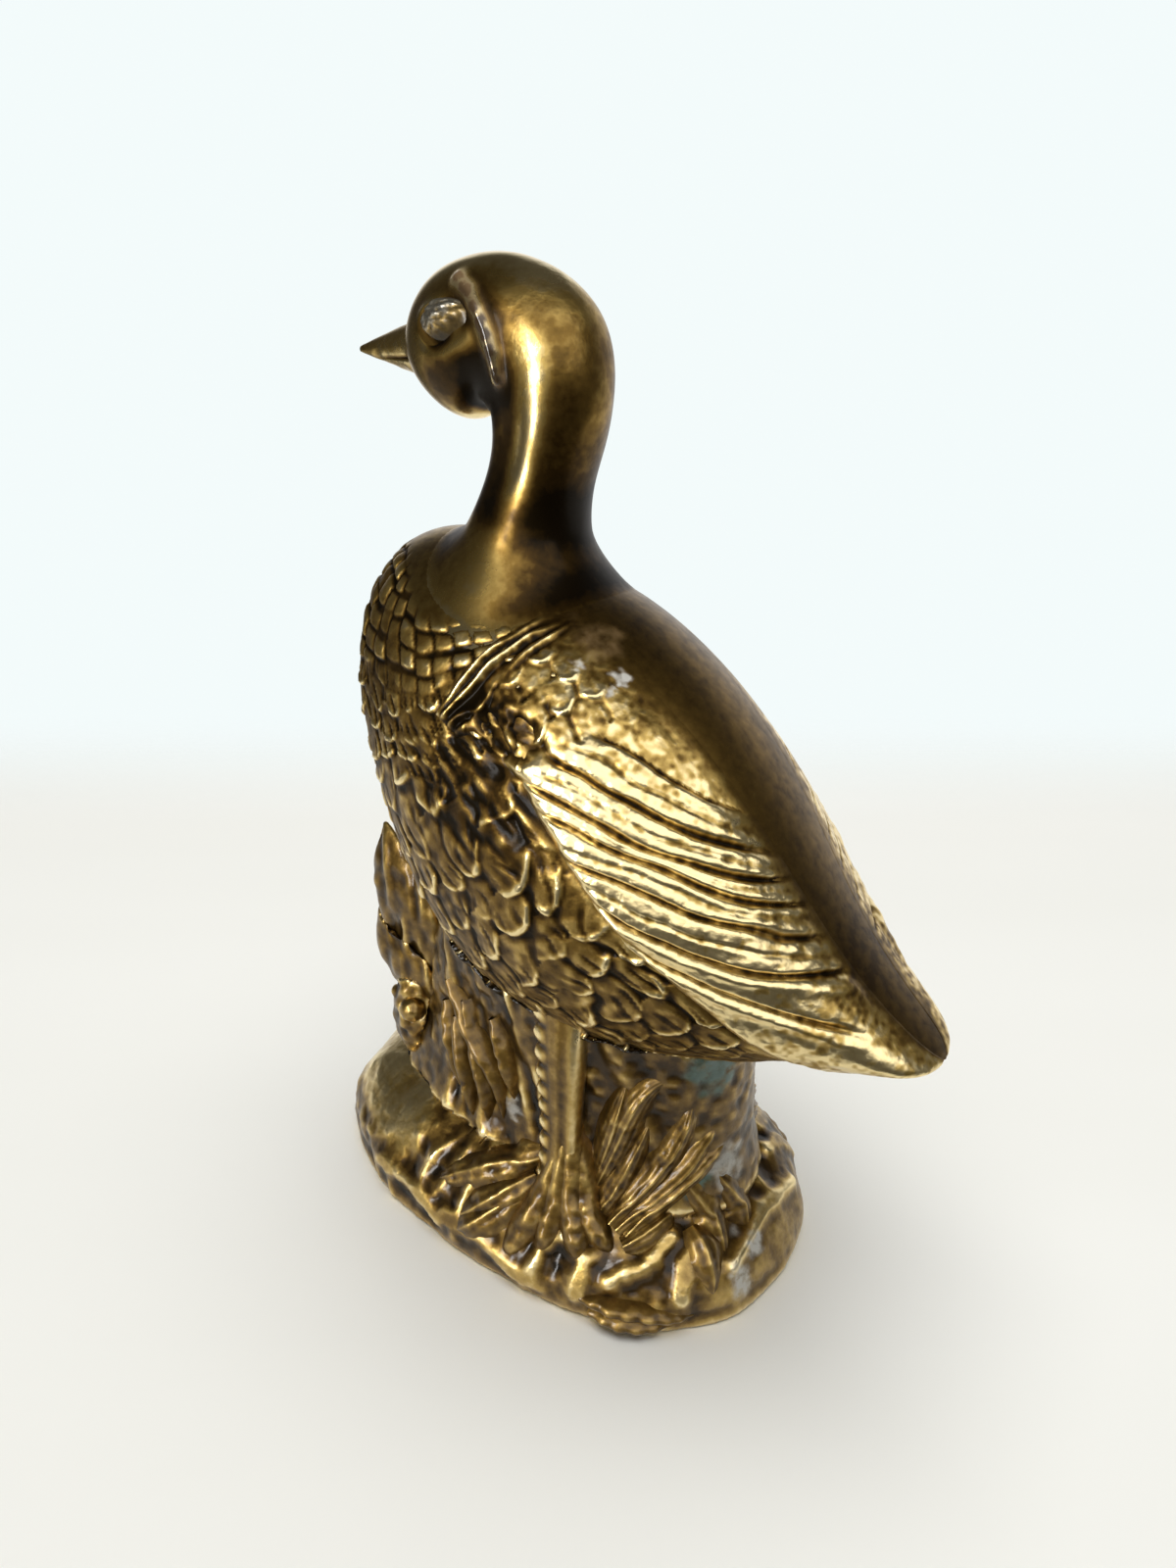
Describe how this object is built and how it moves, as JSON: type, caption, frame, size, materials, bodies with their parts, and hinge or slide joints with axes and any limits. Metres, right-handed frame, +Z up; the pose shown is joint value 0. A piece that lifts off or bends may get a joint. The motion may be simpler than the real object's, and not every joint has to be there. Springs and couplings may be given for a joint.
{
  "type": "cast brass duck figurine",
  "caption": "Cast brass duck standing on a bank of reeds and leaves, with a smooth neck, scaled breast and folded feathered wings.",
  "frame": {"origin": "middle of the whole box in plan, on the surface that the base rim rests on", "axes": "+Z up, -X towards the bill, +X towards the tail, -Y the bird's left side"},
  "size_m": [0.1086, 0.0586, 0.1505],
  "materials": {
    "brass": "aged, polished on the high parts",
    "eye_metal": "rough, silvery",
    "fastener_steel": "dull, zinc plated"
  },
  "bodies": {
    "root": {"base_mound": "brass", "bank_column": "brass", "body_half_left": "brass", "body_half_right": "brass", "wing_left": "brass", "wing_right": "brass", "neck_and_head": "brass", "bill": "brass", "leg_left": "brass", "leg_right": "brass", "grass_fan_left": "brass", "grass_fan_right": "brass", "rim_leaf_left": "brass", "rim_leaf_right": "brass", "foot_leaves_left": "brass", "foot_leaves_right": "brass", "reed_stems_left": "brass", "reed_stems_right": "brass", "rear_leaves": "brass", "front_leaf_upper": "brass", "front_leaf_lower": "brass", "seed_pod": "brass", "seed_ball": "brass", "eye_left": "eye_metal", "eye_right": "eye_metal", "tie_bolt": "fastener_steel", "tie_washer": "fastener_steel", "tie_nut": "fastener_steel", "dowel_pins": "fastener_steel"}
  },
  "joints": []
}
